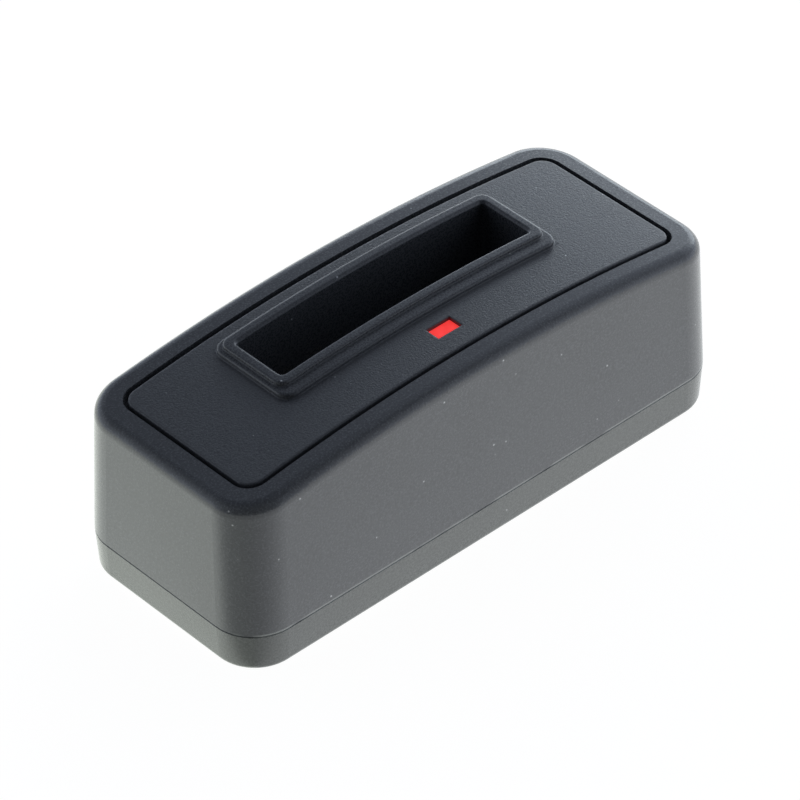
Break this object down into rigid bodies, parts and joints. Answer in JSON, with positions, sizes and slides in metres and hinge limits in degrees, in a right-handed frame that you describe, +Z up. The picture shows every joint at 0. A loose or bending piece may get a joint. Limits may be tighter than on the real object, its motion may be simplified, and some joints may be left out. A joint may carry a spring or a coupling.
{
  "type": "camera battery charger",
  "caption": "Small desk charger for a flat camera battery: crowned dark plastic box with a collared battery slot in its top, a red charge light and a micro USB inlet in its back.",
  "frame": {"origin": "middle of the footprint, on the plane that the feet stand on", "axes": "+Z up, +X along the long side, -Y out of the long side next to the charge light"},
  "size_m": [0.07, 0.0286, 0.0259],
  "materials": {
    "housing": "fine spark-eroded grain",
    "plate": "fine spark-eroded grain",
    "base": "fine spark-eroded grain",
    "rubber": "matt",
    "steel": "zinc plated",
    "board": "solder mask",
    "socket_metal": "nickel plated sheet",
    "black_plastic": "moulded",
    "gold": "gold plated",
    "lens": "red tinted clear plastic",
    "white_resin": "moulded",
    "ceramic": "fired ceramic with tinned ends"
  },
  "bodies": {
    "charger": {"upper_housing": "housing", "battery_plate": "plate", "base_cover": "base", "foot_front_left": "rubber", "foot_back_left": "rubber", "foot_front_right": "rubber", "foot_back_right": "rubber", "case_screws": "steel", "board_screws": "steel", "main_board": "board", "usb_shell": "socket_metal", "usb_tongue": "black_plastic", "usb_terminals": "gold", "indicator_led": "white_resin", "light_pipe": "lens", "contact_block": "black_plastic", "charge_controller": "black_plastic", "input_capacitor": "ceramic", "output_capacitor": "ceramic", "board_resistors": "black_plastic", "barrel_plus": "gold", "spring_plus": "steel", "barrel_sense": "gold", "spring_sense": "steel", "barrel_minus": "gold", "spring_minus": "steel"},
    "contact_plus": {"pin_plus": "gold"},
    "contact_sense": {"pin_sense": "gold"},
    "contact_minus": {"pin_minus": "gold"}
  },
  "joints": [
    {"name": "press_plus", "type": "slide", "parent": "charger", "child": "contact_plus", "axis": [0, 0, -1], "range_m": [0, 0.0014], "stiffness_N_per_m": 400, "springref_m": -0.0005, "deforming": ["spring_plus"]},
    {"name": "press_sense", "type": "slide", "parent": "charger", "child": "contact_sense", "axis": [0, 0, -1], "range_m": [0, 0.0014], "stiffness_N_per_m": 400, "springref_m": -0.0005, "deforming": ["spring_sense"]},
    {"name": "press_minus", "type": "slide", "parent": "charger", "child": "contact_minus", "axis": [0, 0, -1], "range_m": [0, 0.0014], "stiffness_N_per_m": 400, "springref_m": -0.0005, "deforming": ["spring_minus"]}
  ]
}
